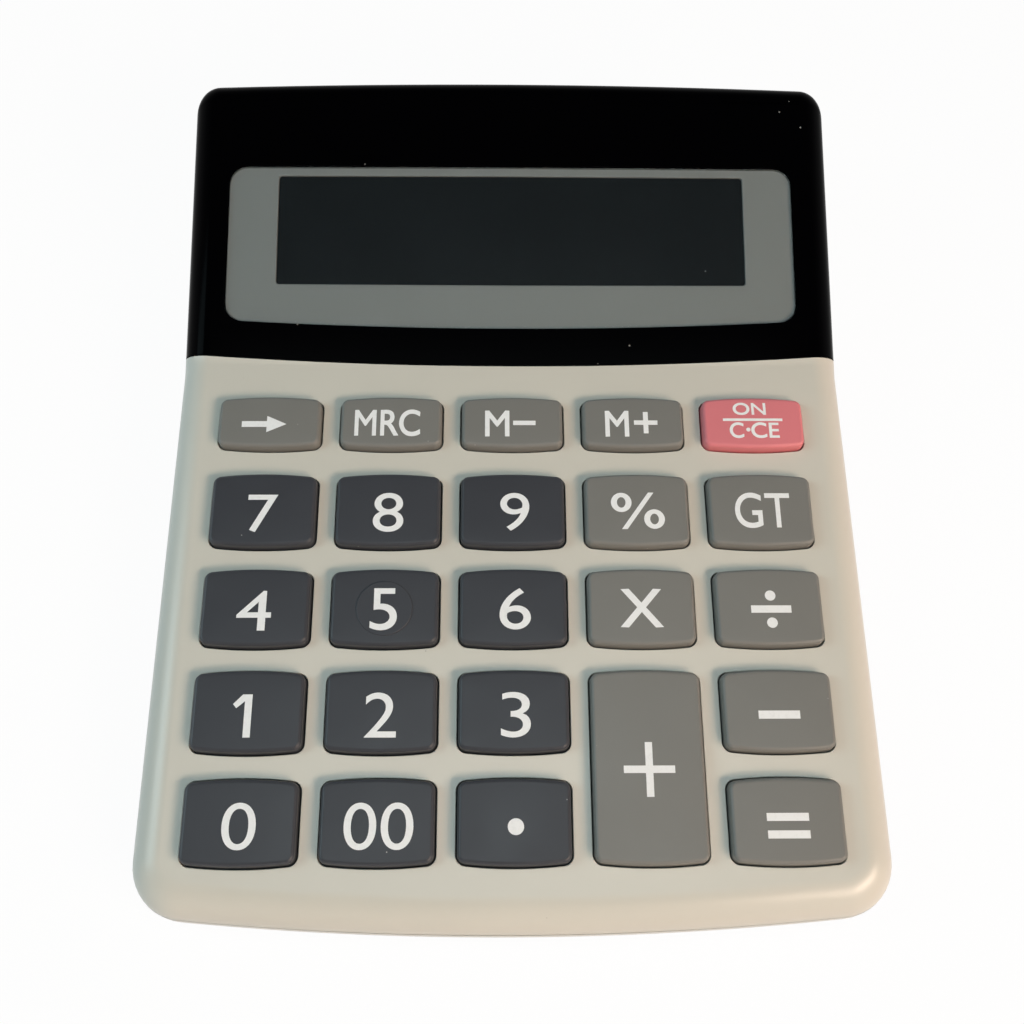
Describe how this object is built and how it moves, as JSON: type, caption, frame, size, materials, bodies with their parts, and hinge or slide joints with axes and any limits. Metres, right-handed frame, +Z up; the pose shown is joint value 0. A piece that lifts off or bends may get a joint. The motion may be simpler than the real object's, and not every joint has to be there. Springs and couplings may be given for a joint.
{
  "type": "desktop calculator",
  "caption": "Wedge-shaped desktop calculator with sprung moulded keys, a tilted display under a gloss black cover, and a sliding battery door.",
  "frame": {"origin": "on the table under the middle of the case, at the height of the feet's under sides", "axes": "+X to the user's right, +Y from the user towards the display, +Z up"},
  "size_m": [0.1186, 0.1498, 0.0333],
  "materials": {
    "case_plastic": "fine matt moulded grain",
    "cover_gloss": "high gloss black",
    "window_clear": "clear, polished",
    "bezel_grey": "satin",
    "lcd_glass": "dark polished glass",
    "ribbon_film": "amber film",
    "board_laminate": "green solder mask",
    "epoxy_black": "black",
    "dome_rubber": "translucent grey silicone",
    "key_dark": "satin, slate",
    "key_grey": "satin, mid grey",
    "key_pink": "satin, pink",
    "foot_rubber": "matt black",
    "screw_steel": "zinc plated",
    "contact_steel": "nickel plated",
    "cell_jacket": "plain printed sleeve",
    "lead_red": "insulation",
    "lead_black": "insulation"
  },
  "bodies": {
    "case": {"upper_case": "case_plastic", "lower_case": "case_plastic", "display_cover": "cover_gloss", "display_window": "window_clear", "lcd_bezel": "bezel_grey", "lcd_panel": "lcd_glass", "lcd_ribbon": "ribbon_film", "keypad_membrane": "dome_rubber", "circuit_board": "board_laminate", "chip_cover": "epoxy_black", "capacitor": "epoxy_black", "board_screw_1": "screw_steel", "board_screw_2": "screw_steel", "board_screw_3": "screw_steel", "board_screw_4": "screw_steel", "board_screw_5": "screw_steel", "board_screw_6": "screw_steel", "foot_1": "foot_rubber", "foot_2": "foot_rubber", "foot_3": "foot_rubber", "foot_4": "foot_rubber", "case_screw_1": "screw_steel", "case_screw_2": "screw_steel", "case_screw_3": "screw_steel", "case_screw_4": "screw_steel", "battery_cell": "cell_jacket", "battery_plate": "contact_steel", "battery_spring": "contact_steel", "battery_lead_red": "lead_red", "battery_lead_black": "lead_black"},
    "key_0": {"key_0": "key_dark"},
    "key_00": {"key_00": "key_dark"},
    "key_point": {"key_point": "key_dark"},
    "key_equals": {"key_equals": "key_grey"},
    "key_1": {"key_1": "key_dark"},
    "key_2": {"key_2": "key_dark"},
    "key_3": {"key_3": "key_dark"},
    "key_plus": {"key_plus": "key_grey"},
    "key_minus": {"key_minus": "key_grey"},
    "key_4": {"key_4": "key_dark"},
    "key_5": {"key_5": "key_dark"},
    "key_6": {"key_6": "key_dark"},
    "key_multiply": {"key_multiply": "key_grey"},
    "key_divide": {"key_divide": "key_grey"},
    "key_7": {"key_7": "key_dark"},
    "key_8": {"key_8": "key_dark"},
    "key_9": {"key_9": "key_dark"},
    "key_percent": {"key_percent": "key_grey"},
    "key_grand_total": {"key_grand_total": "key_grey"},
    "key_backspace": {"key_backspace": "key_grey"},
    "key_memory_recall": {"key_memory_recall": "key_grey"},
    "key_memory_minus": {"key_memory_minus": "key_grey"},
    "key_memory_plus": {"key_memory_plus": "key_grey"},
    "key_on_clear": {"key_on_clear": "key_pink"},
    "battery_door": {"battery_door": "case_plastic"}
  },
  "joints": [
    {"name": "key_0_press", "type": "slide", "parent": "case", "child": "key_0", "axis": [0, -0.0872, 0.9962], "range_m": [-0.0015, 0], "stiffness_N_per_m": 300, "springref_m": 0.0008, "deforming": ["keypad_membrane"]},
    {"name": "key_00_press", "type": "slide", "parent": "case", "child": "key_00", "axis": [0, -0.0872, 0.9962], "range_m": [-0.0015, 0], "stiffness_N_per_m": 300, "springref_m": 0.0008, "deforming": ["keypad_membrane"]},
    {"name": "key_point_press", "type": "slide", "parent": "case", "child": "key_point", "axis": [0, -0.0872, 0.9962], "range_m": [-0.0015, 0], "stiffness_N_per_m": 300, "springref_m": 0.0008, "deforming": ["keypad_membrane"]},
    {"name": "key_equals_press", "type": "slide", "parent": "case", "child": "key_equals", "axis": [0, -0.0872, 0.9962], "range_m": [-0.0015, 0], "stiffness_N_per_m": 300, "springref_m": 0.0008, "deforming": ["keypad_membrane"]},
    {"name": "key_1_press", "type": "slide", "parent": "case", "child": "key_1", "axis": [0, -0.0872, 0.9962], "range_m": [-0.0015, 0], "stiffness_N_per_m": 300, "springref_m": 0.0008, "deforming": ["keypad_membrane"]},
    {"name": "key_2_press", "type": "slide", "parent": "case", "child": "key_2", "axis": [0, -0.0872, 0.9962], "range_m": [-0.0015, 0], "stiffness_N_per_m": 300, "springref_m": 0.0008, "deforming": ["keypad_membrane"]},
    {"name": "key_3_press", "type": "slide", "parent": "case", "child": "key_3", "axis": [0, -0.0872, 0.9962], "range_m": [-0.0015, 0], "stiffness_N_per_m": 300, "springref_m": 0.0008, "deforming": ["keypad_membrane"]},
    {"name": "key_plus_press", "type": "slide", "parent": "case", "child": "key_plus", "axis": [0, -0.0872, 0.9962], "range_m": [-0.0015, 0], "stiffness_N_per_m": 300, "springref_m": 0.0008, "deforming": ["keypad_membrane"]},
    {"name": "key_minus_press", "type": "slide", "parent": "case", "child": "key_minus", "axis": [0, -0.0872, 0.9962], "range_m": [-0.0015, 0], "stiffness_N_per_m": 300, "springref_m": 0.0008, "deforming": ["keypad_membrane"]},
    {"name": "key_4_press", "type": "slide", "parent": "case", "child": "key_4", "axis": [0, -0.0872, 0.9962], "range_m": [-0.0015, 0], "stiffness_N_per_m": 300, "springref_m": 0.0008, "deforming": ["keypad_membrane"]},
    {"name": "key_5_press", "type": "slide", "parent": "case", "child": "key_5", "axis": [0, -0.0872, 0.9962], "range_m": [-0.0015, 0], "stiffness_N_per_m": 300, "springref_m": 0.0008, "deforming": ["keypad_membrane"]},
    {"name": "key_6_press", "type": "slide", "parent": "case", "child": "key_6", "axis": [0, -0.0872, 0.9962], "range_m": [-0.0015, 0], "stiffness_N_per_m": 300, "springref_m": 0.0008, "deforming": ["keypad_membrane"]},
    {"name": "key_multiply_press", "type": "slide", "parent": "case", "child": "key_multiply", "axis": [0, -0.0872, 0.9962], "range_m": [-0.0015, 0], "stiffness_N_per_m": 300, "springref_m": 0.0008, "deforming": ["keypad_membrane"]},
    {"name": "key_divide_press", "type": "slide", "parent": "case", "child": "key_divide", "axis": [0, -0.0872, 0.9962], "range_m": [-0.0015, 0], "stiffness_N_per_m": 300, "springref_m": 0.0008, "deforming": ["keypad_membrane"]},
    {"name": "key_7_press", "type": "slide", "parent": "case", "child": "key_7", "axis": [0, -0.0872, 0.9962], "range_m": [-0.0015, 0], "stiffness_N_per_m": 300, "springref_m": 0.0008, "deforming": ["keypad_membrane"]},
    {"name": "key_8_press", "type": "slide", "parent": "case", "child": "key_8", "axis": [0, -0.0872, 0.9962], "range_m": [-0.0015, 0], "stiffness_N_per_m": 300, "springref_m": 0.0008, "deforming": ["keypad_membrane"]},
    {"name": "key_9_press", "type": "slide", "parent": "case", "child": "key_9", "axis": [0, -0.0872, 0.9962], "range_m": [-0.0015, 0], "stiffness_N_per_m": 300, "springref_m": 0.0008, "deforming": ["keypad_membrane"]},
    {"name": "key_percent_press", "type": "slide", "parent": "case", "child": "key_percent", "axis": [0, -0.0872, 0.9962], "range_m": [-0.0015, 0], "stiffness_N_per_m": 300, "springref_m": 0.0008, "deforming": ["keypad_membrane"]},
    {"name": "key_grand_total_press", "type": "slide", "parent": "case", "child": "key_grand_total", "axis": [0, -0.0872, 0.9962], "range_m": [-0.0015, 0], "stiffness_N_per_m": 300, "springref_m": 0.0008, "deforming": ["keypad_membrane"]},
    {"name": "key_backspace_press", "type": "slide", "parent": "case", "child": "key_backspace", "axis": [0, -0.0872, 0.9962], "range_m": [-0.0015, 0], "stiffness_N_per_m": 300, "springref_m": 0.0008, "deforming": ["keypad_membrane"]},
    {"name": "key_memory_recall_press", "type": "slide", "parent": "case", "child": "key_memory_recall", "axis": [0, -0.0872, 0.9962], "range_m": [-0.0015, 0], "stiffness_N_per_m": 300, "springref_m": 0.0008, "deforming": ["keypad_membrane"]},
    {"name": "key_memory_minus_press", "type": "slide", "parent": "case", "child": "key_memory_minus", "axis": [0, -0.0872, 0.9962], "range_m": [-0.0015, 0], "stiffness_N_per_m": 300, "springref_m": 0.0008, "deforming": ["keypad_membrane"]},
    {"name": "key_memory_plus_press", "type": "slide", "parent": "case", "child": "key_memory_plus", "axis": [0, -0.0872, 0.9962], "range_m": [-0.0015, 0], "stiffness_N_per_m": 300, "springref_m": 0.0008, "deforming": ["keypad_membrane"]},
    {"name": "key_on_clear_press", "type": "slide", "parent": "case", "child": "key_on_clear", "axis": [0, -0.0872, 0.9962], "range_m": [-0.0015, 0], "stiffness_N_per_m": 300, "springref_m": 0.0008, "deforming": ["keypad_membrane"]},
    {"name": "battery_door_slide", "type": "slide", "parent": "case", "child": "battery_door", "axis": [0, 1, 0], "range_m": [0, 0.018]}
  ]
}
